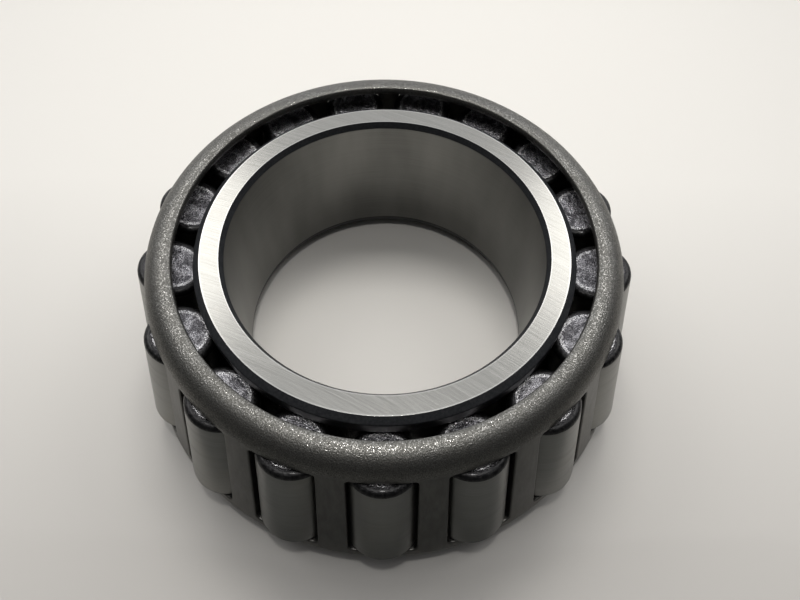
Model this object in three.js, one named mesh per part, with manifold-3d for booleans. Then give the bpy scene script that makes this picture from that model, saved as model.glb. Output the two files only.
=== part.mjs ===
// Tapered roller bearing, inner half: the cone (inner ring) with its tapered rollers and pressed-steel cage.
// Frame: millimetres, +Z up along the bore axis. The origin is on the bore axis in the plane of the
// cone's back face (the wide end), so the bearing stands on z = 0 with its narrow end up.
import * as THREE from "three";
import { mergeVertices } from "three/addons/utils/BufferGeometryUtils.js";
import Module from "manifold-3d";

// ---- driving dimensions -------------------------------------------------
const BORE_R = 66.675 / 2; // 2 5/8 inch bore
const WIDTH = 38.354; // 1.510 inch cone width
const BACK_CORNER_R = 4.0; // bore corner radius at the back face
const FRONT_CHAMFER_R = 0.73; // bore chamfer at the front face, radial
const FRONT_CHAMFER_Z = 1.4; // and axial
const ROLLERS = 17;
const CUP_ANGLE = THREE.MathUtils.degToRad(12.67); // half angle of the rollers' outer envelope
const APEX_Z = 263.4; // every cone of the bearing has its point here, on the bore axis
const S_SMALL = 233.5; // apex to the rollers' small ends, along the outer generator
const ROLLER_LENGTH = 28.2; // along the generator
const ROLLER_SMALL_R = 6.882; // small end radius
const SMALL_CHAMFER = 1.2; // rounded corner at the small end
const LARGE_CHAMFER = 0.9;
const RIB_R = 46.0; // thrust rib outer radius
const RIB_CHAMFER = 1.0;
const FACE_R = 38.07; // outer edge of the flat front face
const SMALL_RIB_R = 39.5;
const SMALL_RIB_CHAMFER = 1.1; // axial
const RUN_GAP = 0.04; // between roller and raceway, and roller and rib
const SHEET = 2.2; // cage sheet thickness
const CAGE_R_TOP = 49.4; // cage outer surface at the top edge of the pockets
const POCKET_Z_TOP = 35.68;
const POCKET_Z_BOTTOM = 7.35;
const POCKET_W_TOP = 12.8; // pocket width at its top edge
const POCKET_W_BOTTOM = 14.12; // and at its bottom edge
const CAGE_Z_BOTTOM = 4.9;
const RIM_TOP_Z = 40.5; // top of the rolled-in rim
const RIM_R = 5.5; // outer bend radius of the rim
const RIM_INNER_R = 43.0; // inner edge of the rim
const RING_SEGMENTS = 68; // 4 per roller pitch
const CAGE_SEGMENTS = 68;
const ROLLER_SEGMENTS = 20;

// ---- shared cone geometry: everything rolls about one apex on the axis ----
const S_LARGE = S_SMALL + ROLLER_LENGTH;
const NU = Math.asin(ROLLER_SMALL_R / S_SMALL); // roller half angle
const GAMMA = CUP_ANGLE - NU; // roller axis angle
const BETA = CUP_ANGLE - 2 * NU; // raceway half angle
const LARGE_R = S_LARGE * Math.sin(NU);
const onLine = (angle, s) => [s * Math.sin(angle), APEX_Z - s * Math.cos(angle)]; // [r, z] at distance s from the apex
const raceR = (z) => (APEX_Z - z) * Math.tan(BETA) - RUN_GAP / Math.cos(BETA);

const wasm = await Module();
wasm.setup();

function lathe(points, segments, phase = 0) {
  const g = new THREE.LatheGeometry(
    points.map(([r, z]) => new THREE.Vector2(r, z)),
    segments,
    phase,
  );
  g.rotateX(Math.PI / 2); // LatheGeometry turns about +Y; stand it on +Z
  return merged(g);
}
function merged(g) {
  const plain = new THREE.BufferGeometry().setAttribute(
    "position",
    (g.index ? g.toNonIndexed() : g).getAttribute("position"),
  );
  return mergeVertices(plain, 1e-4);
}
// Points of a circular arc in the [r, z] half-plane.
function arc(cr, cz, radius, fromDeg, toDeg, steps) {
  const out = [];
  for (let i = 0; i <= steps; i++) {
    const a = THREE.MathUtils.degToRad(fromDeg + ((toDeg - fromDeg) * i) / steps);
    out.push([cr + radius * Math.cos(a), cz + radius * Math.sin(a)]);
  }
  return out;
}
function solid(geometry) {
  const g = geometry.index ? geometry : mergeVertices(geometry, 1e-4);
  return new wasm.Manifold(
    new wasm.Mesh({
      numProp: 3,
      vertProperties: new Float32Array(g.getAttribute("position").array),
      triVerts: new Uint32Array(g.index.array),
    }),
  );
}
function geometryOf(manifold) {
  const m = manifold.getMesh();
  return new THREE.BufferGeometry()
    .setAttribute("position", new THREE.BufferAttribute(new Float32Array(m.vertProperties), 3))
    .setIndex(new THREE.BufferAttribute(new Uint32Array(m.triVerts), 1));
}

// ---- materials ------------------------------------------------------------
const groundSteel = new THREE.MeshStandardMaterial({ color: 0xb9b8b2, metalness: 1, roughness: 0.32 });
const rollerSteel = new THREE.MeshStandardMaterial({ color: 0xa9a9a5, metalness: 1, roughness: 0.22 });
const cageSteel = new THREE.MeshStandardMaterial({ color: 0x6f6d69, metalness: 1, roughness: 0.45 });

// ---- inner ring -------------------------------------------------------------
// The thrust rib's guiding face lies square to the roller axis, just behind the rollers' large ends.
const [innerLargeR, innerLargeZ] = onLine(BETA, S_LARGE);
const ribFaceZ = (r) => innerLargeZ + (r - innerLargeR) * Math.tan(GAMMA) - RUN_GAP / Math.cos(GAMMA);
const ringProfile = [
  [BORE_R, BACK_CORNER_R],
  ...arc(BORE_R + BACK_CORNER_R, BACK_CORNER_R, BACK_CORNER_R, 180, 270, 5).slice(1),
  [RIB_R - RIB_CHAMFER, 0],
  [RIB_R - 0.35 * RIB_CHAMFER, 0.35 * RIB_CHAMFER],
  [RIB_R, RIB_CHAMFER],
  [RIB_R, ribFaceZ(RIB_R) - 0.4],
  [RIB_R - 0.4, ribFaceZ(RIB_R - 0.4)],
  [innerLargeR + 0.9, ribFaceZ(innerLargeR + 0.9)],
  // grinding relief between rib and raceway
  [innerLargeR - 0.1, innerLargeZ - 0.62],
  [innerLargeR - 0.75, innerLargeZ - 0.1],
  [raceR(innerLargeZ + 1.3), innerLargeZ + 1.3],
  // raceway
  [raceR(31.4), 31.4],
  // relief under the small rib
  [raceR(31.9) - 0.45, 32.0],
  [raceR(33.2) - 0.45, 33.2],
  [SMALL_RIB_R - 0.35, 33.6],
  [SMALL_RIB_R, 34.0],
  [SMALL_RIB_R, WIDTH - SMALL_RIB_CHAMFER],
  [FACE_R, WIDTH],
  [BORE_R + FRONT_CHAMFER_R, WIDTH],
  [BORE_R, WIDTH - FRONT_CHAMFER_Z],
];
ringProfile.push(ringProfile[0]);

// ---- roller -------------------------------------------------------------------
// Modelled about its own axis: +Z from the large end (z = 0) to the small end.
const AXIS_LARGE = S_LARGE * Math.cos(NU); // apex to large end, along the roller's axis
const AXIS_LENGTH = AXIS_LARGE - S_SMALL * Math.cos(NU);
const rollerRadius = (z) => (AXIS_LARGE - z) * Math.tan(NU);
const rollerProfile = [
  [0, 0],
  [LARGE_R - LARGE_CHAMFER, 0],
  [LARGE_R - 0.25 * LARGE_CHAMFER, 0.25 * LARGE_CHAMFER],
  [rollerRadius(LARGE_CHAMFER), LARGE_CHAMFER],
  [rollerRadius(AXIS_LENGTH - SMALL_CHAMFER), AXIS_LENGTH - SMALL_CHAMFER],
  [ROLLER_SMALL_R - 0.3 * SMALL_CHAMFER, AXIS_LENGTH - 0.3 * SMALL_CHAMFER],
  [ROLLER_SMALL_R - SMALL_CHAMFER, AXIS_LENGTH],
  [0, AXIS_LENGTH],
];

// ---- cage ------------------------------------------------------------------------
// One sheet: a conical wall that flares towards the back face, and a rim rolled inwards over the small ends.
const CAGE_SLOPE = CAGE_R_TOP / (APEX_Z - POCKET_Z_TOP);
const CAGE_ANGLE = Math.atan(CAGE_SLOPE);
const cageR = (z) => (APEX_Z - z) * CAGE_SLOPE;
const cageDeg = THREE.MathUtils.radToDeg(CAGE_ANGLE);
// centre of the rim's bend: tangent to the conical wall and to the plane z = RIM_TOP_Z
const rimZ = RIM_TOP_Z - RIM_R;
const rimCentreR = cageR(rimZ + RIM_R * Math.sin(CAGE_ANGLE)) - RIM_R * Math.cos(CAGE_ANGLE);
const rimEndDeg = THREE.MathUtils.radToDeg(Math.acos((RIM_INNER_R - rimCentreR) / RIM_R));
const innerEndDeg = THREE.MathUtils.radToDeg(Math.acos((RIM_INNER_R - rimCentreR) / (RIM_R - SHEET)));
const tInner = SHEET / Math.cos(CAGE_ANGLE);
const cageProfile = [
  [cageR(CAGE_Z_BOTTOM) - tInner + 0.3, CAGE_Z_BOTTOM],
  [cageR(CAGE_Z_BOTTOM) - 0.4, CAGE_Z_BOTTOM],
  [cageR(CAGE_Z_BOTTOM + 0.5), CAGE_Z_BOTTOM + 0.5],
  ...arc(rimCentreR, rimZ, RIM_R, cageDeg, rimEndDeg, 7),
  ...arc(rimCentreR, rimZ, RIM_R - SHEET, innerEndDeg, cageDeg, 5),
  [cageR(CAGE_Z_BOTTOM + 0.4) - tInner, CAGE_Z_BOTTOM + 0.4],
];
cageProfile.push(cageProfile[0]);
const cageBlank = solid(lathe(cageProfile, CAGE_SEGMENTS, Math.PI / CAGE_SEGMENTS));

// A pocket: a prism with rounded corners, narrowing towards the apex, cut square through the wall.
const slant = (z) => (APEX_Z - z) / Math.cos(CAGE_ANGLE); // apex to a height, along the cage's outer surface
const sTop = slant(POCKET_Z_TOP);
const sBottom = slant(POCKET_Z_BOTTOM);
const halfW = (s) => POCKET_W_TOP / 2 + ((POCKET_W_BOTTOM - POCKET_W_TOP) / 2) * ((s - sTop) / (sBottom - sTop));
const corner = 0.8;
const outline = new THREE.Shape();
const corners = [
  [-halfW(sTop), sTop],
  [halfW(sTop), sTop],
  [halfW(sBottom), sBottom],
  [-halfW(sBottom), sBottom],
];
const roundedPoints = [];
corners.forEach(([x, s], i) => {
  const prev = corners[(i + 3) % 4];
  const next = corners[(i + 1) % 4];
  const toward = ([px, ps], d) => {
    const len = Math.hypot(px - x, ps - s);
    return [x + ((px - x) * d) / len, s + ((ps - s) * d) / len];
  };
  const a = toward(prev, corner);
  const b = toward(next, corner);
  const mid = [x + (a[0] + b[0] - 2 * x) * 0.29, s + (a[1] + b[1] - 2 * s) * 0.29];
  roundedPoints.push(a, mid, b);
});
roundedPoints.forEach(([x, s], i) => (i ? outline.lineTo(x, s) : outline.moveTo(x, s)));
outline.closePath();
const pocketPrism = new THREE.ExtrudeGeometry(outline, { depth: 14, bevelEnabled: false });
pocketPrism.translate(0, 0, -7);
const pocketSolid = solid(merged(pocketPrism));
const cutters = [];
for (let k = 0; k < ROLLERS; k++) {
  const a = azimuth(k);
  // prism x -> tangential, prism y (distance from the apex) -> down the slant, prism z -> outward normal
  const down = new THREE.Vector3(Math.sin(CAGE_ANGLE) * Math.cos(a), Math.sin(CAGE_ANGLE) * Math.sin(a), -Math.cos(CAGE_ANGLE));
  const out = new THREE.Vector3(Math.cos(CAGE_ANGLE) * Math.cos(a), Math.cos(CAGE_ANGLE) * Math.sin(a), Math.sin(CAGE_ANGLE));
  const across = new THREE.Vector3().crossVectors(down, out);
  const m = new THREE.Matrix4().makeBasis(across, down, out).setPosition(0, 0, APEX_Z);
  cutters.push(pocketSolid.transform([...m.elements]));
}
let cageSolid = cageBlank;
for (const c of cutters) cageSolid = cageSolid.subtract(c);

// Roller 1 is on the -Y side; numbers run anticlockwise seen from above.
function azimuth(k) {
  return -Math.PI / 2 + (2 * Math.PI * k) / ROLLERS;
}

// ---- assembly ------------------------------------------------------------------------
const bearing = new THREE.Group();
function add(name, geometry, material) {
  const mesh = new THREE.Mesh(geometry, material);
  mesh.name = name;
  bearing.add(mesh);
  return mesh;
}
add("inner_ring", lathe(ringProfile, RING_SEGMENTS, 0), groundSteel);
add("cage", geometryOf(cageSolid), cageSteel);
const rollerGeometry = lathe(rollerProfile, ROLLER_SEGMENTS);
for (let k = 0; k < ROLLERS; k++) {
  const a = azimuth(k);
  const up = new THREE.Vector3(-Math.sin(GAMMA) * Math.cos(a), -Math.sin(GAMMA) * Math.sin(a), Math.cos(GAMMA));
  const across = new THREE.Vector3(-Math.sin(a), Math.cos(a), 0);
  const out = new THREE.Vector3().crossVectors(across, up);
  const roller = add("roller_" + String(k + 1).padStart(2, "0"), rollerGeometry, rollerSteel);
  roller.matrixAutoUpdate = false;
  roller.matrix
    .makeBasis(out, across, up)
    .setPosition(-up.x * AXIS_LARGE, -up.y * AXIS_LARGE, APEX_Z - up.z * AXIS_LARGE);
}

export default bearing;
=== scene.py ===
import math

import bpy
import numpy as np
from mathutils import Matrix, Vector


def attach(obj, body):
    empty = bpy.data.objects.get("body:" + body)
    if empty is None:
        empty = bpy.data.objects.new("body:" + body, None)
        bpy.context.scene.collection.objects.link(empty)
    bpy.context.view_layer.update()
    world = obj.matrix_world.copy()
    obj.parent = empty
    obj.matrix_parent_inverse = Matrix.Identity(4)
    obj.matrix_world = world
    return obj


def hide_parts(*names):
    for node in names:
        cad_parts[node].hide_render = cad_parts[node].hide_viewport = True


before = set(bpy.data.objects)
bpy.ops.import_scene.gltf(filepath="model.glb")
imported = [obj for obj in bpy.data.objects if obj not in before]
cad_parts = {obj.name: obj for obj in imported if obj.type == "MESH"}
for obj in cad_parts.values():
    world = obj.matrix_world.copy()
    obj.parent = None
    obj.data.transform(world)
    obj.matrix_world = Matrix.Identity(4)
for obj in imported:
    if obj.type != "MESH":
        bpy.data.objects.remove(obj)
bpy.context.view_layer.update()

MM = 0.001
RNG = np.random.default_rng(281)

# ------------------------------------------------------------------ dimensions, mm (those of the CAD)
BORE_R = 66.675 / 2
WIDTH = 38.354
ROLLERS = 17
APEX_Z = 263.4
ALPHA = math.radians(12.67)
S_SMALL = 233.5
S_LARGE = S_SMALL + 28.2
SMALL_R = 6.882
NU = math.asin(SMALL_R / S_SMALL)
GAMMA = ALPHA - NU
BETA = ALPHA - 2 * NU
LARGE_R = S_LARGE * math.sin(NU)
AXIS_LARGE = S_LARGE * math.cos(NU)
AXIS_LENGTH = AXIS_LARGE - S_SMALL * math.cos(NU)
RUN_GAP = 0.04
RIB_R = 46.0
FACE_R = 38.07
SMALL_RIB_R = 39.5
SHEET = 2.2
CAGE_SLOPE = 49.4 / (APEX_Z - 35.68)
CAGE_A = math.atan(CAGE_SLOPE)
RIM_TOP = 40.5
RIM_R = 5.5
RIM_INNER = 43.0
CAGE_BOTTOM = 4.9


# ------------------------------------------------------------------ node helpers
class Nodes:
    """A short way to write a material's node tree."""

    def __init__(self, name):
        self.mat = bpy.data.materials.new(name)
        self.mat.use_nodes = True
        self.t = self.mat.node_tree
        self.t.nodes.clear()
        self.out = self.t.nodes.new("ShaderNodeOutputMaterial")
        self.bsdf = self.t.nodes.new("ShaderNodeBsdfPrincipled")
        self.t.links.new(self.bsdf.outputs[0], self.out.inputs[0])
        self.coord = self.t.nodes.new("ShaderNodeTexCoord")
        self.geo = None

    def link(self, a, b):
        self.t.links.new(a, b)

    def put(self, node, key, value):
        s = node.inputs[key]
        if isinstance(value, bpy.types.NodeSocket):
            self.link(value, s)
        else:
            s.default_value = value

    def set(self, key, value):
        self.put(self.bsdf, key, value)

    @property
    def obj(self):
        return self.coord.outputs["Object"]

    def attr(self, name):
        n = self.t.nodes.new("ShaderNodeAttribute")
        n.attribute_name = name
        return n.outputs["Vector"]

    def math(self, op, a, b=0.0, c=0.0, clamp=False):
        n = self.t.nodes.new("ShaderNodeMath")
        n.operation = op
        n.use_clamp = clamp
        for i, v in enumerate((a, b, c)):
            if i < len(n.inputs):
                self.put(n, i, v)
        return n.outputs[0]

    def vec(self, op, a, b=(0, 0, 0), scale=None):
        n = self.t.nodes.new("ShaderNodeVectorMath")
        n.operation = op
        self.put(n, 0, a)
        if op not in ("LENGTH", "NORMALIZE", "SCALE"):
            self.put(n, 1, b)
        if scale is not None:
            self.put(n, "Scale", scale)
        return n.outputs["Value"] if op in ("LENGTH", "DOT_PRODUCT", "DISTANCE") else n.outputs[0]

    def sep(self, v):
        n = self.t.nodes.new("ShaderNodeSeparateXYZ")
        self.put(n, 0, v)
        return n.outputs

    def comb(self, x, y, z):
        n = self.t.nodes.new("ShaderNodeCombineXYZ")
        for i, v in enumerate((x, y, z)):
            self.put(n, i, v)
        return n.outputs[0]

    def noise(self, v, scale=1.0, detail=3.0, rough=0.5, distortion=0.0):
        n = self.t.nodes.new("ShaderNodeTexNoise")
        self.put(n, "Vector", v)
        n.inputs["Scale"].default_value = scale
        n.inputs["Detail"].default_value = detail
        n.inputs["Roughness"].default_value = rough
        n.inputs["Distortion"].default_value = distortion
        return n.outputs[0]

    def voronoi(self, v, scale=1.0, feature="F1", randomness=1.0):
        n = self.t.nodes.new("ShaderNodeTexVoronoi")
        n.feature = feature
        self.put(n, "Vector", v)
        n.inputs["Scale"].default_value = scale
        n.inputs["Randomness"].default_value = randomness
        return n.outputs["Distance"]

    def ramp(self, f, stops, smooth=True):
        """stops: (position, value) with value a number or an (r, g, b)."""
        n = self.t.nodes.new("ShaderNodeValToRGB")
        n.color_ramp.interpolation = "EASE" if smooth else "LINEAR"
        e = n.color_ramp.elements
        while len(e) < len(stops):
            e.new(1.0)
        for el, (p, c) in zip(e, stops):
            el.position = p
            el.color = (c, c, c, 1) if not hasattr(c, "__len__") else (*c, 1)
        self.put(n, 0, f)
        return n.outputs[0]

    def range(self, f, a, b, c=0.0, d=1.0):
        n = self.t.nodes.new("ShaderNodeMapRange")
        self.put(n, 0, f)
        for i, v in enumerate((a, b, c, d)):
            n.inputs[i + 1].default_value = v
        n.clamp = True
        return n.outputs[0]

    def mix(self, f, a, b):
        n = self.t.nodes.new("ShaderNodeMix")
        n.data_type = "RGBA"
        n.clamp_factor = True
        self.put(n, 0, f)
        for i, v in ((6, a), (7, b)):
            if not isinstance(v, bpy.types.NodeSocket):
                v = (*v, 1) if hasattr(v, "__len__") else (v, v, v, 1)
            self.put(n, i, v)
        return n.outputs[2]

    def mixf(self, f, a, b):
        n = self.t.nodes.new("ShaderNodeMix")
        n.data_type = "FLOAT"
        n.clamp_factor = True
        self.put(n, 0, f)
        self.put(n, 2, a)
        self.put(n, 3, b)
        return n.outputs[0]

    def bump(self, height, strength, distance_mm, normal=None):
        n = self.t.nodes.new("ShaderNodeBump")
        n.inputs["Strength"].default_value = strength
        n.inputs["Distance"].default_value = distance_mm * MM
        self.put(n, "Height", height)
        if normal is not None:
            self.put(n, "Normal", normal)
        return n.outputs[0]

    def mm(self, v, x=1.0, y=1.0, z=1.0):
        """Object metres to millimetres, each axis with its own frequency per mm."""
        return self.vec("MULTIPLY", v, (1000 * x, 1000 * y, 1000 * z))


# ------------------------------------------------------------------ materials
def ground_face():
    """The ring's flat faces: bright, ground, with long crossing lines."""
    n = Nodes("ground_face")
    p = n.obj
    s = n.sep(n.mm(p))
    r = n.vec("LENGTH", n.comb(s[0], s[1], 0.0))
    # arcs left by the cup wheel: straight over a short width, slanting across the annulus
    def across(ux, uy, f_across, f_along, w):
        c = n.math("ADD", n.math("MULTIPLY", s[0], -uy), n.math("MULTIPLY", s[1], ux))
        l = n.math("ADD", n.math("MULTIPLY", s[0], ux), n.math("MULTIPLY", s[1], uy))
        # a slight bow, from the wheel's radius
        c = n.math("MULTIPLY_ADD", n.math("MULTIPLY", l, l), 0.0022, c)
        return n.comb(n.math("MULTIPLY", c, f_across), n.math("MULTIPLY", l, f_along), w)

    d1 = across(0.905, -0.425, 4.8, 0.05, 0.0)
    d2 = across(0.82, -0.57, 2.2, 0.06, 3.0)
    l1 = n.noise(d1, 1.0, 4.0, 0.6)
    l2 = n.noise(d2, 1.0, 4.0, 0.6)
    lines = n.math("MULTIPLY_ADD", l1, 0.72, n.math("MULTIPLY", l2, 0.28))
    cloud = n.noise(n.mm(p, 0.12, 0.12, 0.12), 1.0, 4.0, 0.6)
    stain = n.ramp(n.noise(n.mm(p, 0.35, 0.35, 0.35), 1.0, 5.0, 0.65), [(0.56, 0.0), (0.72, 1.0)])
    col = n.mix(n.range(lines, 0.3, 0.7), (0.28, 0.275, 0.256), (0.40, 0.394, 0.372))
    col = n.mix(n.math("MULTIPLY", stain, 0.16), col, (0.42, 0.40, 0.36))
    edge = n.math("MAXIMUM", n.range(r, FACE_R - 0.35, FACE_R - 0.02), n.range(r, BORE_R + 1.05, BORE_R + 0.75))
    col = n.mix(n.math("MULTIPLY", edge, 0.35), col, (0.86, 0.85, 0.83))
    n.set("Base Color", col)
    n.set("Metallic", 1.0)
    rough = n.math("MULTIPLY_ADD", lines, 0.12, n.math("MULTIPLY_ADD", cloud, 0.06, 0.14))
    n.set("Roughness", rough)
    n.set("Normal", n.bump(lines, 0.4, 0.016))
    return n.mat


def ground_bore():
    """Bore: satin, with fine lines running round it, so that its reflections stretch along the bore."""
    n = Nodes("ground_bore")
    p = n.obj
    s = n.sep(p)
    lines = n.noise(n.mm(p, 0.05, 0.05, 6.0), 1.0, 5.0, 0.65)
    cloud = n.noise(n.mm(p, 0.07, 0.07, 0.02), 1.0, 3.0, 0.5)
    col = n.mix(n.range(lines, 0.3, 0.7), (0.138, 0.139, 0.131), (0.180, 0.180, 0.170))
    col = n.mix(n.math("MULTIPLY", n.range(cloud, 0.38, 0.66), 0.6), col, (0.275, 0.273, 0.258))
    n.set("Base Color", col)
    n.set("Metallic", 1.0)
    n.set("Roughness", n.math("MULTIPLY_ADD", lines, 0.10, n.math("MULTIPLY_ADD", cloud, 0.06, 0.26)))
    n.set("Anisotropic", 0.55)
    t = n.t.nodes.new("ShaderNodeTangent")
    t.direction_type = "RADIAL"
    t.axis = "Z"
    n.set("Tangent", t.outputs[0])
    n.set("Normal", n.bump(lines, 0.3, 0.015))
    return n.mat


def black_scale():
    """Surfaces of the ring that are turned and hardened but never ground: black, slightly rough, oiled."""
    n = Nodes("black_scale")
    p = n.obj
    turn = n.noise(n.mm(p, 0.08, 0.08, 4.0), 1.0, 4.0, 0.6)
    grain = n.noise(n.mm(p, 2.2, 2.2, 2.2), 1.0, 4.0, 0.6)
    col = n.mix(n.range(grain, 0.4, 0.75), (0.012, 0.013, 0.015), (0.034, 0.035, 0.038))
    n.set("Base Color", col)
    n.set("Metallic", 0.0)
    n.set("Specular IOR Level", 0.35)
    n.set("Roughness", n.math("MULTIPLY_ADD", grain, 0.20, 0.34))
    n.set("Normal", n.bump(n.math("MULTIPLY_ADD", grain, 0.6, n.math("MULTIPLY", turn, 0.4)), 0.4, 0.05))
    return n.mat


def ground_raceway():
    n = Nodes("ground_raceway")
    p = n.obj
    lines = n.noise(n.mm(p, 0.05, 0.05, 7.0), 1.0, 4.0, 0.6)
    cloud = n.noise(n.mm(p, 0.12, 0.12, 0.12), 1.0, 4.0, 0.6)
    n.set("Base Color", n.mix(n.range(lines, 0.3, 0.7), (0.44, 0.435, 0.42), (0.58, 0.575, 0.56)))
    n.set("Metallic", 1.0)
    n.set("Roughness", n.math("MULTIPLY_ADD", lines, 0.10, n.math("MULTIPLY_ADD", cloud, 0.08, 0.12)))
    n.set("Normal", n.bump(lines, 0.2, 0.01))
    return n.mat


def roller_body():
    """Roller body: ground and honed, very fine lines round it, faint run-in bands and an oil film."""
    n = Nodes("roller_body")
    q = n.attr("local_mm")  # x, y, z of the roller's own axes
    s = n.attr("seed")
    v = n.vec("ADD", q, s)
    c = n.sep(q)
    fine = n.noise(n.vec("MULTIPLY", v, (0.10, 0.10, 9.0)), 1.0, 4.0, 0.6)
    band = n.noise(n.vec("MULTIPLY", v, (0.03, 0.03, 0.5)), 1.0, 2.0, 0.5)
    oil = n.noise(n.vec("MULTIPLY", v, (0.10, 0.10, 0.07)), 1.0, 3.0, 0.5, 0.2)
    col = n.mix(n.range(fine, 0.3, 0.7), (0.195, 0.195, 0.184), (0.245, 0.245, 0.233))
    col = n.mix(n.math("MULTIPLY", n.range(oil, 0.5, 0.7), 0.10), col, (0.40, 0.36, 0.27))
    # darker towards both ends of the body
    ends = n.math("MAXIMUM", n.range(c[2], AXIS_LENGTH - 3.2, AXIS_LENGTH - 1.0), n.range(c[2], 1.6, 0.6))
    col = n.mix(n.math("MULTIPLY", ends, 0.35), col, (0.16, 0.155, 0.15))
    n.set("Base Color", col)
    n.set("Metallic", 1.0)
    rough = n.math("MULTIPLY_ADD", fine, 0.06, n.math("MULTIPLY_ADD", oil, 0.05, 0.29))
    rough = n.math("MULTIPLY_ADD", n.range(band, 0.5, 0.65), 0.05, rough)
    n.set("Roughness", rough)
    n.set("Normal", n.bump(fine, 0.12, 0.01))
    return n.mat


def roller_shoulder():
    """The rounded corners: unground, dark, wet with oil."""
    n = Nodes("roller_shoulder")
    q = n.vec("ADD", n.attr("local_mm"), n.attr("seed"))
    g = n.noise(n.vec("MULTIPLY", q, (1.6, 1.6, 1.6)), 1.0, 4.0, 0.6)
    n.set("Base Color", n.mix(n.range(g, 0.35, 0.7), (0.009, 0.009, 0.010), (0.038, 0.037, 0.037)))
    n.set("Metallic", 0.9)
    n.set("Roughness", n.math("MULTIPLY_ADD", g, 0.25, 0.26))
    n.set("Normal", n.bump(g, 0.9, 0.22))
    n.set("Coat Weight", 0.22)
    n.set("Coat Roughness", 0.09)
    return n.mat


def roller_small_end():
    """Small end: as cut and headed, pitted and torn, grey with a faint lilac cast and bright facets; painted glints in
    a band near its edge and painted shade over its outer margin.
    """
    n = Nodes("roller_small_end")
    q = n.vec("ADD", n.attr("local_mm"), n.attr("seed"))
    big = n.noise(n.vec("MULTIPLY", q, (0.40, 0.40, 0.40)), 1.0, 4.0, 0.6, 0.6)
    pit = n.voronoi(n.vec("MULTIPLY", q, (2.6, 2.6, 2.6)), 1.0)
    grain = n.noise(n.vec("MULTIPLY", q, (4.6, 4.6, 4.6)), 1.0, 3.0, 0.7)
    h = n.math("ADD", n.math("MULTIPLY", pit, 0.45), n.math("MULTIPLY_ADD", grain, 0.55, n.math("MULTIPLY", big, 0.9)))
    c = n.sep(n.attr("local_mm"))
    r = n.vec("LENGTH", n.comb(c[0], c[1], 0.0))
    col = n.mix(n.range(grain, 0.40, 0.60), (0.085, 0.083, 0.092), (0.54, 0.53, 0.555))
    col = n.mix(n.math("MULTIPLY", n.range(big, 0.55, 0.42), 0.82), col, (0.055, 0.053, 0.059))
    # painted highlight: a band of near-white flecks towards the end's edge, painted glints
    edge = n.math("MULTIPLY", n.range(n.math("MULTIPLY_ADD", big, 1.0, r), 5.0, 5.3), n.range(grain, 0.44, 0.52))
    col = n.mix(n.math("MULTIPLY", edge, 0.7), col, (0.80, 0.79, 0.80))
    # painted shade: the outer margin of every end is painted near black, standing for the shade under the cage rim
    painted_shade_margin = n.range(n.math("MULTIPLY_ADD", big, 0.8, r), 5.62, 5.82)
    col = n.mix(n.math("MULTIPLY", painted_shade_margin, 0.94), col, (0.022, 0.021, 0.023))
    n.set("Base Color", col)
    n.set("Metallic", 1.0)
    n.set("Roughness", n.math("MULTIPLY_ADD", grain, 0.24, 0.16))
    n.set("Normal", n.bump(h, 0.9, 0.15))
    n.set("Coat Weight", 0.1)
    n.set("Coat Roughness", 0.12)
    return n.mat


def roller_large_end():
    """Large end: ground in rings, with an unground recess in the middle."""
    n = Nodes("roller_large_end")
    q = n.attr("local_mm")
    v = n.vec("ADD", q, n.attr("seed"))
    c = n.sep(q)
    r = n.vec("LENGTH", n.comb(c[0], c[1], 0.0))
    rings = n.noise(n.comb(n.math("MULTIPLY", r, 6.0), 0.0, 0.0), 1.0, 4.0, 0.6)
    grain = n.noise(n.vec("MULTIPLY", v, (2.4, 2.4, 2.4)), 1.0, 4.0, 0.6)
    inside = n.range(r, 3.25, 3.0)
    col = n.mix(n.range(rings, 0.3, 0.7), (0.42, 0.42, 0.41), (0.56, 0.56, 0.55))
    col = n.mix(inside, col, n.mix(grain, (0.10, 0.10, 0.10), (0.26, 0.25, 0.25)))
    n.set("Base Color", col)
    n.set("Metallic", 1.0)
    n.set("Roughness", n.mixf(inside, n.math("MULTIPLY_ADD", rings, 0.12, 0.14), n.math("MULTIPLY_ADD", grain, 0.2, 0.35)))
    n.set("Normal", n.bump(n.math("MULTIPLY_ADD", inside, n.math("MULTIPLY", grain, 4.0), rings), 0.25, 0.03))
    return n.mat


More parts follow.
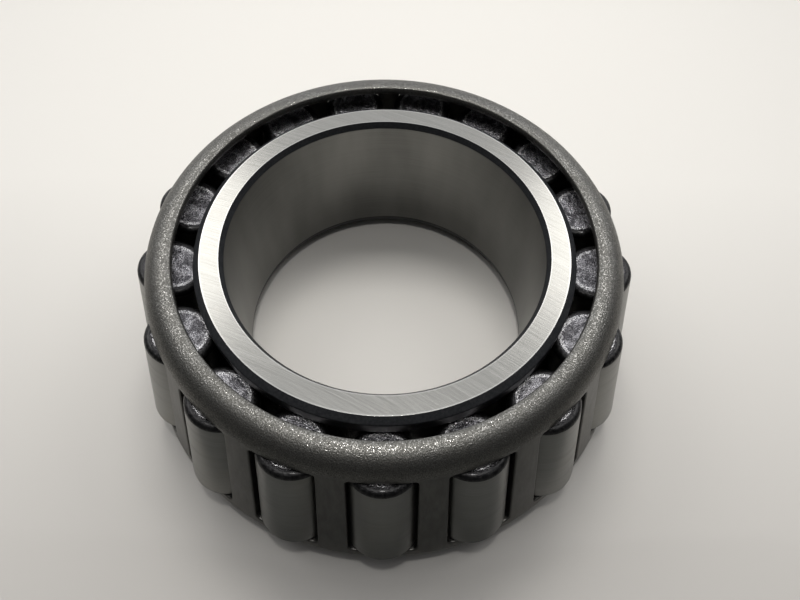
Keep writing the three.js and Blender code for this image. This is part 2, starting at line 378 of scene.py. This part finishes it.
def cage_sheet():
    """Pressed sheet, tumbled: satin grey, an orange-peel skin on the rolled rim, smoother on the bars, a film of oil,
    and light flecks painted along the top of the rim as a painted sparkle.
    """
    n = Nodes("cage_sheet")
    p = n.obj
    z = n.math("MULTIPLY", n.sep(p)[2], 1000.0)
    peel = n.noise(n.mm(p, 3.0, 3.0, 3.0), 1.0, 2.0, 0.55)
    grain = n.noise(n.mm(p, 5.5, 5.5, 5.5), 1.0, 2.0, 0.6)
    dimple = n.voronoi(n.mm(p, 3.6, 3.6, 3.6), 1.0, "SMOOTH_F1")
    cloud = n.noise(n.mm(p, 0.14, 0.14, 0.14), 1.0, 4.0, 0.6)
    draw = n.noise(n.mm(p, 0.9, 0.9, 0.10), 1.0, 4.0, 0.6)
    rim = n.range(z, 35.9, 36.9)
    fleck = n.noise(n.mm(p, 7.5, 7.5, 7.5), 1.0, 1.0, 0.5)
    skin = n.mix(n.range(n.math("MULTIPLY_ADD", grain, 0.5, n.math("MULTIPLY", fleck, 0.5)), 0.38, 0.62), (0.070, 0.068, 0.063), (0.205, 0.201, 0.187))
    sparkle_flecks = n.math("MULTIPLY", n.range(peel, 0.48, 0.56), n.range(grain, 0.50, 0.57))
    sparkle_flecks = n.math("MULTIPLY", sparkle_flecks, rim)
    # painted highlight: on the top of the rim (z 38.6 to 40 mm) the flecks are painted light, a painted sparkle along
    # the crest; elsewhere on the rim they only lower the roughness
    skin = n.mix(n.math("MULTIPLY", sparkle_flecks, n.range(z, 38.6, 40.0)), skin, (0.46, 0.452, 0.430))
    bars = n.mix(n.range(draw, 0.35, 0.65), (0.098, 0.096, 0.090), (0.132, 0.130, 0.122))
    base = n.mix(rim, bars, skin)
    base = n.mix(n.math("MULTIPLY", n.range(cloud, 0.42, 0.68), 0.20), base, (0.13, 0.122, 0.106))
    n.set("Base Color", base)
    n.set("Metallic", 1.0)
    rough = n.math("MULTIPLY_ADD", grain, 0.10, n.math("MULTIPLY_ADD", cloud, 0.06, n.mixf(rim, 0.34, 0.40)))
    n.set("Roughness", n.mixf(sparkle_flecks, rough, 0.15))
    h = n.math("ADD", n.math("MULTIPLY", dimple, 0.5), n.math("MULTIPLY_ADD", peel, 0.8, n.math("MULTIPLY", grain, 0.5)))
    h = n.math("MULTIPLY", h, n.math("MULTIPLY_ADD", rim, 0.92, 0.08))
    n.set("Normal", n.bump(h, 0.7, 0.09))
    return n.mat


def cage_cut():
    """Punched edges of the pockets: sheared, brighter streaks through the thickness."""
    n = Nodes("cage_cut")
    p = n.obj
    g = n.noise(n.mm(p, 1.6, 1.6, 3.0), 1.0, 4.0, 0.6)
    n.set("Base Color", n.mix(n.range(g, 0.35, 0.65), (0.030, 0.029, 0.028), (0.090, 0.088, 0.083)))
    n.set("Metallic", 1.0)
    n.set("Roughness", n.math("MULTIPLY_ADD", g, 0.2, 0.42))
    n.set("Normal", n.bump(g, 0.4, 0.06))
    return n.mat


def floor_material():
    n = Nodes("pale_table")
    p = n.obj
    cloud = n.noise(n.vec("MULTIPLY", p, (3.0, 3.0, 3.0)), 1.0, 3.0, 0.5)
    fine = n.noise(n.vec("MULTIPLY", p, (900, 900, 900)), 1.0, 3.0, 0.6)
    # painted shade: towards the camera's side (-y) the floor is painted darker, from plain pale at y = +0.05 m to
    # darkest at y = -0.15 to -0.18 m, then paler again out to y = -0.70 m; it stands for the shadow in front of the
    # bearing and the fall of light towards the front
    near = n.math("MAXIMUM", n.range(n.sep(p)[1], -0.15, 0.05), n.range(n.sep(p)[1], -0.18, -0.70))
    pale = n.mix(cloud, (0.665, 0.646, 0.612), (0.705, 0.685, 0.650))
    n.set("Base Color", n.mix(near, n.mix(cloud, (0.345, 0.327, 0.309), (0.372, 0.353, 0.333)), pale))
    n.set("Roughness", n.math("MULTIPLY_ADD", fine, 0.1, 0.5))
    n.set("Specular IOR Level", 0.35)
    n.set("Normal", n.bump(fine, 0.08, 0.05))
    return n.mat


M = {
    f.__name__: f()
    for f in (
        ground_face,
        ground_bore,
        black_scale,
        ground_raceway,
        roller_body,
        roller_shoulder,
        roller_small_end,
        roller_large_end,
        cage_sheet,
        cage_cut,
        floor_material,
    )
}


# ------------------------------------------------------------------ mesh helpers
def mesh_object(name, verts_mm, faces, face_mats, mats, local=None, seed=None):
    me = bpy.data.meshes.new(name)
    v = np.asarray(verts_mm, float) * MM
    me.from_pydata([tuple(x) for x in v], [], faces)
    for m in mats:
        me.materials.append(M[m])
    me.polygons.foreach_set("material_index", np.asarray(face_mats, np.int32))
    me.polygons.foreach_set("use_smooth", np.ones(len(faces), bool))
    if local is not None:
        a = me.attributes.new("local_mm", "FLOAT_VECTOR", "POINT")
        a.data.foreach_set("vector", np.asarray(local, np.float32).ravel())
        a = me.attributes.new("seed", "FLOAT_VECTOR", "POINT")
        a.data.foreach_set("vector", np.tile(np.asarray(seed, np.float32), len(v)))
    me.validate()
    me.update()
    o = bpy.data.objects.new(name, me)
    bpy.context.scene.collection.objects.link(o)
    w = o.modifiers.new("normals", "WEIGHTED_NORMAL")
    w.mode = "FACE_AREA"
    w.weight = 90
    w.keep_sharp = False
    return o


def arc(cr, cz, r, a0, a1, steps):
    return [
        (cr + r * math.cos(math.radians(a0 + (a1 - a0) * i / steps)), cz + r * math.sin(math.radians(a0 + (a1 - a0) * i / steps)))
        for i in range(steps + 1)
    ]


def rounded(points, steps=4):
    """points: (r, z, corner radius, material of the edge that follows). Returns [(r, z)], [material per edge]."""
    out, mats = [], []
    n = len(points)
    for i, (r, z, c, m) in enumerate(points):
        p = np.array([r, z])
        if c <= 0:
            out.append(tuple(p))
            mats.append(m)
            continue
        a = np.array(points[i - 1][:2]) - p
        b = np.array(points[(i + 1) % n][:2]) - p
        la, lb = np.linalg.norm(a), np.linalg.norm(b)
        a, b = a / la, b / lb
        half = math.acos(np.clip(a @ b, -1, 1)) / 2
        t = min(c / math.tan(half), 0.49 * la, 0.49 * lb)
        rr = t * math.tan(half)
        mid = (a + b) / np.linalg.norm(a + b)
        centre = p + mid * rr / math.sin(half)
        s, e = p + a * t, p + b * t
        a0 = math.atan2(*(s - centre)[::-1])
        a1 = math.atan2(*(e - centre)[::-1])
        d = (a1 - a0 + math.pi) % (2 * math.pi) - math.pi
        for k in range(steps + 1):
            th = a0 + d * k / steps
            out.append((centre[0] + rr * math.cos(th), centre[1] + rr * math.sin(th)))
            mats.append(m)
    return out, mats


def split_long(points, mats, longest):
    """Cut long edges up, so that every ring of faces is short."""
    out, om = [], []
    n = len(points)
    for i in range(n):
        a, b = np.array(points[i]), np.array(points[(i + 1) % n])
        k = max(1, int(math.ceil(np.linalg.norm(b - a) / longest)))
        for j in range(k):
            out.append(tuple(a + (b - a) * j / k))
            om.append(mats[i])
    return out, om


def revolve(points, mats, segments, closed=True):
    """points in (r, z), edge i runs from point i to i + 1. Returns verts, faces, face materials."""
    n = len(points)
    ang = np.arange(segments) * 2 * math.pi / segments
    verts, index = [], []
    for r, z in points:
        if r < 1e-6:
            index.append([len(verts)] * segments)
            verts.append((0, 0, z))
        else:
            index.append(list(range(len(verts), len(verts) + segments)))
            verts += [(r * math.cos(a), r * math.sin(a), z) for a in ang]
    faces, fm = [], []
    for i in range(n if closed else n - 1):
        j = (i + 1) % n
        for k in range(segments):
            l = (k + 1) % segments
            f = [index[i][k], index[i][l], index[j][l], index[j][k]]
            f = [x for q, x in enumerate(f) if x not in f[:q]]
            if len(f) > 2:
                faces.append(f)
                fm.append(mats[i])
    return verts, faces, fm


def outward(o):
    """Make the normals of a closed mesh point outwards."""
    import bmesh

    bm = bmesh.new()
    bm.from_mesh(o.data)
    bmesh.ops.remove_doubles(bm, verts=bm.verts, dist=1e-7)
    bmesh.ops.recalc_face_normals(bm, faces=bm.faces)
    bm.to_mesh(o.data)
    bm.free()
    o.data.update()


# ------------------------------------------------------------------ inner ring
def on_line(angle, s):
    return s * math.sin(angle), APEX_Z - s * math.cos(angle)


inner_large_r, inner_large_z = on_line(BETA, S_LARGE)


def race_r(z):
    return (APEX_Z - z) * math.tan(BETA) - RUN_GAP / math.cos(BETA)


def rib_z(r):
    return inner_large_z + (r - inner_large_r) * math.tan(GAMMA) - RUN_GAP / math.cos(GAMMA)


FACE, BORE, SCALE, RACE = 0, 1, 2, 3
ring_corners = [
    (BORE_R, 4.0, 0, SCALE),
    *[(r, z, 0, SCALE) for r, z in arc(BORE_R + 4.0, 4.0, 4.0, 180, 270, 14)[1:-1]],
    (BORE_R + 4.0, 0.0, 0, FACE),
    (RIB_R - 1.0, 0.0, 0.35, SCALE),
    (RIB_R - 0.35, 0.35, 0.5, SCALE),
    (RIB_R, 1.0, 0.35, BORE),
    (RIB_R, rib_z(RIB_R) - 0.4, 0.2, SCALE),
    (RIB_R - 0.4, rib_z(RIB_R - 0.4), 0.15, RACE),
    (inner_large_r + 0.9, rib_z(inner_large_r + 0.9), 0.12, SCALE),
    (inner_large_r - 0.1, inner_large_z - 0.62, 0.3, SCALE),
    (inner_large_r - 0.75, inner_large_z - 0.1, 0.35, SCALE),
    (race_r(inner_large_z + 1.3), inner_large_z + 1.3, 0.1, RACE),
    (race_r(31.4), 31.4, 0.1, SCALE),
    (race_r(31.9) - 0.45, 32.0, 0.25, SCALE),
    (race_r(33.2) - 0.45, 33.2, 0.25, SCALE),
    (SMALL_RIB_R - 0.35, 33.6, 0.15, SCALE),
    (SMALL_RIB_R, 34.0, 0.25, SCALE),
    (SMALL_RIB_R, WIDTH - 1.1, 0.5, SCALE),
    (FACE_R, WIDTH, 0.06, FACE),
    (BORE_R + 0.73, WIDTH, 0.08, SCALE),
    (BORE_R, WIDTH - 1.4, 0.3, BORE),
]
pts, mts = rounded(ring_corners, 4)
pts, mts = split_long(pts, mts, 1.6)
v, f, fm = revolve(pts, mts, 340)
ring = mesh_object("cone_ring", v, f, fm, ["ground_face", "ground_bore", "black_scale", "ground_raceway"])
outward(ring)
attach(ring, "inner_ring")
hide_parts("inner_ring")


# ------------------------------------------------------------------ cage
SEC = math.pi / ROLLERS
SINA, COSA = math.sin(CAGE_A), math.cos(CAGE_A)
S_BEND = (APEX_Z - (RIM_TOP - RIM_R + RIM_R * SINA)) / COSA
BEND_R = S_BEND * SINA - RIM_R * COSA
BEND_Z = RIM_TOP - RIM_R
S_PT = (APEX_Z - 35.68) / COSA
S_PB = (APEX_Z - 7.35) / COSA
S_END = (APEX_Z - CAGE_BOTTOM) / COSA
HW_T, HW_B = 6.40, 7.06


def sheet_rz(s, d):
    """Point of the sheet in (r, z): s along the outer skin from the apex, d deep into the metal."""
    if s >= S_BEND:
        return s * SINA - d * COSA, APEX_Z - s * COSA - d * SINA
    th = CAGE_A + (S_BEND - s) / RIM_R
    return BEND_R + (RIM_R - d) * math.cos(th), BEND_Z + (RIM_R - d) * math.sin(th)


def half_w(s):
    return HW_T + (HW_B - HW_T) * (s - S_PT) / (S_PB - S_PT)


def outline(grow, depth=0.0, side=26, top=16, m=6, rc=0.95):
    """Pocket outline (x, s), clockwise from the lower left, moved out by grow; same count for every grow."""
    st, sb = S_PT - grow, S_PB + grow
    rr = rc + 0.65 * depth / SHEET + grow
    grow -= 0.10 * depth / SHEET
    pts = []
    # left side, going up (towards smaller s)
    for i in range(side):
        s = (sb - rr) + ((st + rr) - (sb - rr)) * i / side
        pts.append((-(half_w(s) + grow), s))
    cx, cs = -(half_w(st + rr) + grow - rr), st + rr
    for i in range(m):
        a = math.pi - (math.pi / 2) * i / m
        pts.append((cx + rr * math.cos(a), cs - rr * math.sin(a)))
    for i in range(top):
        pts.append((cx + (-2 * cx) * i / top, st))
    for i in range(m):
        a = math.pi / 2 - (math.pi / 2) * i / m
        pts.append((-cx + rr * math.cos(a), cs - rr * math.sin(a)))
    for i in range(side):
        s = (st + rr) + ((sb - rr) - (st + rr)) * i / side
        pts.append((half_w(s) + grow, s))
    bx, bs = half_w(sb - rr) + grow - rr, sb - rr
    for i in range(m):
        a = -(math.pi / 2) * i / m
        pts.append((bx + rr * math.cos(a), bs - rr * math.sin(a)))
    for i in range(top):
        pts.append((bx - 2 * bx * i / top, sb))
    for i in range(m):
        a = -math.pi / 2 - (math.pi / 2) * i / m
        pts.append((-bx + rr * math.cos(a), bs - rr * math.sin(a)))
    return pts


def border(side=26, top=16, m=6, rc=0.95, grow=0.3):
    """The sector's border (phi, s), point for point with outline()."""
    s0, s1 = S_BEND - 1.4, S_END - 0.55
    base = outline(grow, 0.0, side, top, m, rc)
    n = len(base)
    sa, sb_ = base[side][1], base[0][1]
    x0 = base[side + m][0] / 50.0 * 1.0
    x0 = -0.62 * SEC
    x1 = 0.62 * SEC
    out = []
    for i in range(side):
        out.append((-SEC, base[i][1]))
    h = m // 2
    for i in range(m):
        out.append((-SEC, sa + (s0 - sa) * i / h) if i < h else (-SEC + (x0 + SEC) * (i - h) / h, s0))
    for i in range(top):
        out.append((x0 + (x1 - x0) * i / top, s0))
    for i in range(m):
        out.append((x1 + (SEC - x1) * i / h, s0) if i < h else (SEC, s0 + (sa - s0) * (i - h) / h))
    for i in range(side):
        out.append((SEC, base[side + m + top + m + i][1]))
    for i in range(m):
        out.append((SEC, sb_ + (s1 - sb_) * i / h) if i < h else (SEC + (x1 - SEC) * (i - h) / h, s1))
    for i in range(top):
        out.append((x1 + (x0 - x1) * i / top, s1))
    for i in range(m):
        out.append((x0 + (-SEC - x0) * i / h, s1) if i < h else (-SEC, s1 + (sb_ - s1) * (i - h) / h))
    assert len(out) == n
    return out, s0, s1


B_OUT, B_IN = 0.32, 0.22
brd, S0, S1 = border()
NB = len(brd)
c_verts, c_faces, c_mats = [], [], []


def add_loops(loops, mats, azimuth):
    """loops: lists of (phi, r, z) with equal counts. Joins each to the next."""
    base = len(c_verts)
    for lp in loops:
        for ph, r, z in lp:
            c_verts.append((r * math.cos(azimuth + ph), r * math.sin(azimuth + ph), z))
    for i in range(len(loops) - 1):
        for k in range(NB):
            l = (k + 1) % NB
            c_faces.append([base + i * NB + k, base + i * NB + l, base + (i + 1) * NB + l, base + (i + 1) * NB + k])
            c_mats.append(mats[i])


def at_x(x, s, d):
    r, z = sheet_rz(s, d)
    return math.asin(max(-1, min(1, x / r))), r, z


def at_phi(ph, s, d):
    r, z = sheet_rz(s, d)
    return ph, r, z


def frame_loops(d, grow):
    """From the border in to the edge of the pocket, on the skin at depth d."""
    edge = [at_x(x, s, d)[0] for x, s in outline(grow, d)]
    es = [s for _, s in outline(grow, d)]
    loops = []
    for t in (1.0, 0.72, 0.46, 0.26, 0.12, 0.04, 0.0):
        loops.append([at_phi(edge[i] * (1 - t) + brd[i][0] * t, es[i] * (1 - t) + brd[i][1] * t, d) for i in range(NB)])
    return loops


sector_loops = frame_loops(0.0, B_OUT)
loop_mats = [0] * (len(sector_loops) - 1)
for k in range(1, 5):  # outer rounding, then the punched wall, then the inner rounding
    a = math.pi / 2 * k / 4
    g, d = B_OUT * (1 - math.sin(a)), B_OUT * (1 - math.cos(a))
    sector_loops.append([at_x(x, s, d) for x, s in outline(g, d)])
    loop_mats.append(0)
for k in range(1, 5):
    d = B_OUT + (SHEET - B_OUT - B_IN) * k / 4
    sector_loops.append([at_x(x, s, d) for x, s in outline(0.0, d)])
    loop_mats.append(1)
for k in range(1, 5):
    a = math.pi / 2 * k / 4
    g, d = B_IN * (1 - math.cos(a)), SHEET - B_IN * (1 - math.sin(a))
    sector_loops.append([at_x(x, s, d) for x, s in outline(g, d)])
    loop_mats.append(1)
inner = frame_loops(SHEET, B_IN)[::-1][1:]
sector_loops += inner
loop_mats += [0] * len(inner)
for k in range(ROLLERS):
    add_loops(sector_loops, loop_mats, -math.pi / 2 + 2 * math.pi * k / ROLLERS)

# rim and bottom edge: strips that use the border's own divisions
side, top, m, h = 26, 16, 6, 3
top_phi = [brd[i][0] for i in range(side + h, side + m + top + h + 1)]
bot_phi = [brd[i][0] for i in range(2 * side + 2 * m + top + h, 2 * side + 3 * m + 2 * top + h + 1)]


def strip(section, phis, mat):
    for k in range(ROLLERS):
        az = -math.pi / 2 + 2 * math.pi * k / ROLLERS
        base = len(c_verts)
        for r, z in section:
            for ph in phis:
                c_verts.append((r * math.cos(az + ph), r * math.sin(az + ph), z))
        w = len(phis)
        for i in range(len(section) - 1):
            for j in range(w - 1):
                c_faces.append([base + i * w + j, base + i * w + j + 1, base + (i + 1) * w + j + 1, base + (i + 1) * w + j])
                c_mats.append(mat)


# rim section: outer skin up and over, round nose, back along the inner skin
NOSE = 0.85
th_end = math.acos((RIM_INNER + NOSE - BEND_R) / RIM_R)
s_end_out = S_BEND - RIM_R * (th_end - CAGE_A)
section = [sheet_rz(S0 + (s_end_out - S0) * i / 22, 0.0) for i in range(23)]
oz = section[-1][1]
iz = BEND_Z + math.sqrt((RIM_R - SHEET) ** 2 - (RIM_INNER + NOSE - BEND_R) ** 2)
for i in range(1, 12):
    t = 1 - 2 * i / 12
    tt = math.copysign(abs(t) ** 0.8, t)
    section.append((RIM_INNER + NOSE - NOSE * (1 - abs(tt) ** 2.6) ** (1 / 2.6), (oz + iz) / 2 + tt * (oz - iz) / 2))
th_in = math.acos((RIM_INNER + NOSE - BEND_R) / (RIM_R - SHEET))
th0 = CAGE_A + (S_BEND - S0) / RIM_R
for i in range(15):
    th = th_in + (th0 - th_in) * i / 14
    section.append((BEND_R + (RIM_R - SHEET) * math.cos(th), BEND_Z + (RIM_R - SHEET) * math.sin(th)))
strip(section, top_phi, 0)

# bottom edge: a sheared edge with its corners broken
cap = []
L = S_END - S1
for i in range(0, 15):
    t = 1 - 2 * i / 14
    tt = math.copysign(abs(t) ** 0.6, t)
    ext = L * (1 - abs(tt) ** 6.0) ** (1 / 6.0)
    cap.append(sheet_rz(S1 + ext, SHEET / 2 - tt * SHEET / 2))
strip(cap, bot_phi, 0)

cage = mesh_object("cage_sheet_metal", c_verts, c_faces, c_mats, ["cage_sheet", "cage_cut"])
outward(cage)
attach(cage, "cage")
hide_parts("cage")


# ------------------------------------------------------------------ rollers
def roller_radius(z):
    return (AXIS_LARGE - z) * math.tan(NU)


BODY, SHOULDER, SMALL, LARGE = 0, 1, 2, 3
CS, CL = 1.2, 0.9
roller_pts = [
    (0.0, 0.28, LARGE),
    (1.2, 0.28, LARGE),
    (2.5, 0.27, LARGE),
    (2.9, 0.22, LARGE),
    (3.1, 0.10, LARGE),
    (3.2, 0.02, LARGE),
    (3.35, 0.0, LARGE),
    (4.6, 0.0, LARGE),
    (5.8, 0.0, LARGE),
]
for i in range(8):
    a = math.radians(90 * i / 7)
    roller_pts.append((LARGE_R - CL * (1 - math.sin(a)) - 0.02 * (i / 7), CL * (1 - math.cos(a)), SHOULDER))
z0, z1 = CL, AXIS_LENGTH - CS
for i in range(1, 18):
    z = z0 + (z1 - z0) * i / 18
    roller_pts.append((roller_radius(z), z, BODY))
for i in range(11):
    a = math.radians(90 * i / 10)
    zz = z1 + CS * math.sin(a)
    roller_pts.append((roller_radius(z1) - CS * (1 - math.cos(a)), zz, SHOULDER))
rtop = roller_pts[-1][0]
for t in (0.8, 0.6, 0.4, 0.2, 0.0):
    roller_pts.append((rtop * t, AXIS_LENGTH - 0.10 * (1 - t), SMALL))
rp = [(r, z) for r, z, _ in roller_pts]
rm = [mt for _, _, mt in roller_pts]
# an edge belongs to the part it leads into
for i in range(len(rp) - 1):
    if roller_pts[i][2] == LARGE and roller_pts[i + 1][2] == SHOULDER:
        rm[i] = LARGE
    if roller_pts[i][2] == SHOULDER and roller_pts[i + 1][2] == BODY:
        rm[i] = BODY
    if roller_pts[i][2] == BODY and roller_pts[i + 1][2] == SHOULDER:
        rm[i] = BODY
    if roller_pts[i][2] == SHOULDER and roller_pts[i + 1][2] == SMALL:
        rm[i] = SMALL
rv, rf, rfm = revolve(rp, rm, 84, closed=False)
rv = np.array(rv)
for k in range(ROLLERS):
    a = -math.pi / 2 + 2 * math.pi * k / ROLLERS
    up = np.array([-math.sin(GAMMA) * math.cos(a), -math.sin(GAMMA) * math.sin(a), math.cos(GAMMA)])
    across = np.array([-math.sin(a), math.cos(a), 0.0])
    out = np.cross(across, up)
    turn = RNG.uniform(0, 2 * math.pi)
    c, s = math.cos(turn), math.sin(turn)
    world = (
        np.array([0, 0, APEX_Z])
        - up * AXIS_LARGE
        + np.outer(rv[:, 0] * c - rv[:, 1] * s, out)
        + np.outer(rv[:, 0] * s + rv[:, 1] * c, across)
        + np.outer(rv[:, 2], up)
    )
    name = "roller_%02d" % (k + 1)
    o = mesh_object(
        "tapered_" + name,
        world,
        rf,
        rfm,
        ["roller_body", "roller_shoulder", "roller_small_end", "roller_large_end"],
        local=rv,
        seed=RNG.uniform(-400, 400, 3),
    )
    outward(o)
    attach(o, name)
    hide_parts(name)


# ------------------------------------------------------------------ floor, light, camera
def floor():
    me = bpy.data.meshes.new("table_top")
    s = 3.0
    me.from_pydata([(-s, -s, 0), (s, -s, 0), (s, s, 0), (-s, s, 0)], [], [(0, 1, 2, 3)])
    me.materials.append(M["floor_material"])
    o = bpy.data.objects.new("table_top", me)
    bpy.context.scene.collection.objects.link(o)
    return o


floor()


def flag():
    """A dark sheet in front of the bearing, seen only in reflections: a painted dark reflection, which the camera does
    not see and which casts no shadow.
    """
    mat = bpy.data.materials.new("dark_reflection_card")
    mat.use_nodes = True
    mat.node_tree.nodes["Principled BSDF"].inputs["Base Color"].default_value = (0.20, 0.20, 0.192, 1)
    mat.node_tree.nodes["Principled BSDF"].inputs["Specular IOR Level"].default_value = 0.0
    me = bpy.data.meshes.new("flag")
    vs, fs, k = [], [], 24
    for i in range(k + 1):
        a = math.radians(-90 - 60 + 120 * i / k)
        near = 0.060 + 0.040 * abs(2 * i / k - 1) ** 4
        vs += [(near * math.cos(a), near * math.sin(a), 0.0012), (1.6 * math.cos(a), 1.6 * math.sin(a), 0.0012)]
        if i:
            fs.append((2 * i - 2, 2 * i - 1, 2 * i + 1, 2 * i))
    me.from_pydata(vs, [], fs)
    me.materials.append(mat)
    o = bpy.data.objects.new("flag", me)
    bpy.context.scene.collection.objects.link(o)
    o.visible_camera = False
    o.visible_diffuse = False
    o.visible_shadow = False


flag()


def area(name, where, target, size, power, colour=(1, 1, 1)):
    d = bpy.data.lights.new(name, "AREA")
    d.shape = "RECTANGLE"
    d.size, d.size_y = size
    d.energy = power
    d.color = colour
    o = bpy.data.objects.new(name, d)
    bpy.context.scene.collection.objects.link(o)
    o.location = where
    o.rotation_euler = (Vector(target) - Vector(where)).to_track_quat("-Z", "Y").to_euler()
    return o


def panel(name, azimuth, elevation, distance, size, radiance, colour=(1.0, 0.985, 0.955)):
    """A soft panel seen from the bearing at that azimuth (from +Y towards +X) and elevation, with that brightness."""
    az, el = math.radians(azimuth), math.radians(elevation)
    where = [distance * math.cos(el) * math.sin(az), distance * math.cos(el) * math.cos(az), 0.02 + distance * math.sin(el)]
    return area(name, where, (0, 0, 0.02), size, radiance * math.pi * size[0] * size[1], colour)


panel("back_left_panel", -50, 49, 0.45, (0.30, 0.16), 2.75)
panel("back_right_panel", 51, 49, 0.45, (0.30, 0.16), 2.65)
panel("overhead_lamp", 180, 88, 0.50, (0.035, 0.035), 90.0)
overhead = panel("overhead_panel", 180, 84, 0.55, (0.34, 0.26), 1.7)
overhead.visible_diffuse = False
key = panel("back_key", 0, 65, 0.40, (0.16, 0.12), 13.5)
key.visible_glossy = False

world = bpy.data.worlds.new("studio")
bpy.context.scene.world = world
world.use_nodes = True
wn = world.node_tree
bg = wn.nodes["Background"]
# a room that is bright behind the object and overhead, and dark on the camera's side
wc = wn.nodes.new("ShaderNodeTexCoord")
wx = wn.nodes.new("ShaderNodeSeparateXYZ")
wn.links.new(wc.outputs["Generated"], wx.inputs[0])
wd = wn.nodes.new("ShaderNodeMath")
wd.operation = "MULTIPLY"
wd.inputs[1].default_value = 0.55
wn.links.new(wx.outputs["Z"], wd.inputs[0])
wa = wn.nodes.new("ShaderNodeMath")
wa.operation = "MULTIPLY_ADD"
wa.inputs[1].default_value = 0.8
wn.links.new(wx.outputs["Y"], wa.inputs[0])
wn.links.new(wd.outputs[0], wa.inputs[2])
wm = wn.nodes.new("ShaderNodeMapRange")
wm.interpolation_type = "SMOOTHSTEP"
wm.inputs[1].default_value = 0.12
wm.inputs[2].default_value = 0.92
wm.inputs[3].default_value = 0.07
wm.inputs[4].default_value = 0.93
wn.links.new(wa.outputs[0], wm.inputs[0])
wn.links.new(wm.outputs[0], bg.inputs[1])
bg.inputs[0].default_value = (0.97, 0.98, 1.0, 1)

# camera: fitted to the photograph, in the bearing's own frame
th, yaw, roll = math.radians(59.295), math.radians(2.262), math.radians(-1.783)
pos = np.array([0.215, -78.603, 146.787])
cy, sy = math.cos(yaw), math.sin(yaw)
fw = np.array([sy * math.cos(th), cy * math.cos(th), -math.sin(th)])
right = np.array([cy, -sy, 0.0])
down = np.cross(fw, right)
r2 = math.cos(roll) * right + math.sin(roll) * down
d2 = -math.sin(roll) * right + math.cos(roll) * down
spin = Matrix.Rotation(0.015, 4, "Z")
cam = bpy.data.cameras.new("camera")
cam.sensor_width = 36.0
cam.lens = 646.29 * 36.0 / 800.0
cam.clip_start = 0.005
cam_o = bpy.data.objects.new("camera", cam)
bpy.context.scene.collection.objects.link(cam_o)
m4 = Matrix.Identity(4)
for i in range(3):
    m4[i][0], m4[i][1], m4[i][2], m4[i][3] = r2[i], -d2[i], -fw[i], pos[i] * MM
cam_o.matrix_world = spin @ m4
bpy.context.scene.camera = cam_o
bpy.context.scene.view_settings.view_transform = "Standard"
